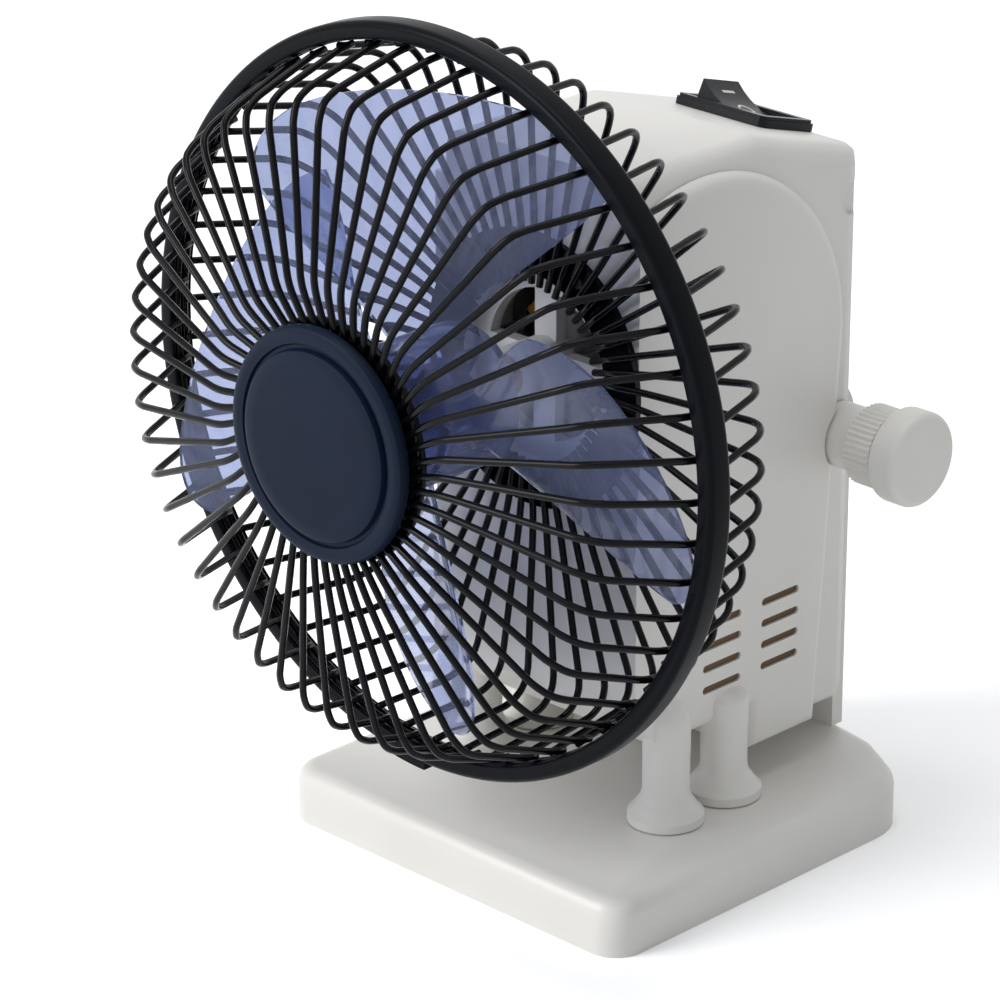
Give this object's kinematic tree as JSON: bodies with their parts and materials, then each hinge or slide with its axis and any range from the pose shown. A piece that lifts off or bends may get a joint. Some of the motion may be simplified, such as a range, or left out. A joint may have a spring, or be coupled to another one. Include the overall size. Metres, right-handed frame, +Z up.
{
  "type": "desk fan",
  "caption": "Small desk fan: a round wire guard over clear blades, on a white housing that tilts up on a rear bracket above a flat base, with a rocker switch and a clamp knob.",
  "frame": {"origin": "on the underside of the base, below the middle of the housing", "axes": "+Z up, -Y the way the fan blows, +X the side of the clamp knob"},
  "size_m": [0.135, 0.119, 0.1612],
  "materials": {
    "ivory": "satin moulded plastic",
    "cover_grey": "fine matt moulding",
    "rubber": "matt rubber",
    "steel": "bright zinc",
    "knob_white": "satin moulded plastic with a fine knurl",
    "black_plastic": "satin black",
    "switch_black": "semi-gloss black",
    "brass": "plain",
    "lamination": "stacked sheet steel",
    "coil_tape": "orange tape",
    "casting": "die cast",
    "bush": "oil-soaked bronze",
    "blade_violet": "clear violet plastic",
    "guard_black": "satin black paint",
    "badge_slate": "satin dark slate"
  },
  "bodies": {
    "base": {"base_plate": "ivory", "base_cover": "cover_grey", "rubber_feet": "rubber", "cover_screws": "steel", "tilt_bracket": "ivory", "bracket_screws": "steel"},
    "head": {"friction_washers": "rubber", "pivot_nut": "steel", "front_shell": "ivory", "rear_cover": "ivory", "shell_screws": "steel", "cord_grommet": "rubber", "switch_body": "switch_black", "switch_terminals": "brass", "stator_core": "lamination", "stator_coils": "coil_tape", "motor_front_bracket": "casting", "motor_rear_bracket": "casting", "motor_tie_bolts": "steel", "motor_screws": "steel", "bearing_bushes": "bush", "rear_wires": "guard_black", "rear_hoop": "guard_black", "rear_guard_plate": "guard_black", "guard_screws": "steel", "guard_ring": "black_plastic", "ring_clip": "black_plastic", "front_wires": "guard_black", "front_hoop": "guard_black", "centre_ring": "guard_black", "badge_plate": "black_plastic", "badge_screw": "steel", "badge": "badge_slate"},
    "rotor": {"rotor_core": "lamination", "rotor_shaft": "steel", "fan_blade": "blade_violet"},
    "knob": {"clamp_bolt": "steel", "tilt_knob": "knob_white"},
    "rocker": {"switch_rocker": "switch_black"}
  },
  "joints": [
    {"name": "head_tilt", "type": "hinge", "parent": "base", "child": "head", "pos_m": [0, 0.039, 0.072], "axis": [-1, 0, 0], "range_deg": [0, 40]},
    {"name": "fan_spin", "type": "hinge", "parent": "head", "child": "rotor", "pos_m": [0, 0, 0.0937], "axis": [0, 1, 0], "continuous": true},
    {"name": "knob_turn", "type": "hinge", "parent": "head", "child": "knob", "pos_m": [0, 0.039, 0.072], "axis": [1, 0, 0], "range_deg": [0, 270]},
    {"name": "switch_rock", "type": "hinge", "parent": "head", "child": "rocker", "pos_m": [0, 0.0364, 0.12744], "axis": [0, -0.9613, 0.2756], "range_deg": [0, 28]}
  ]
}
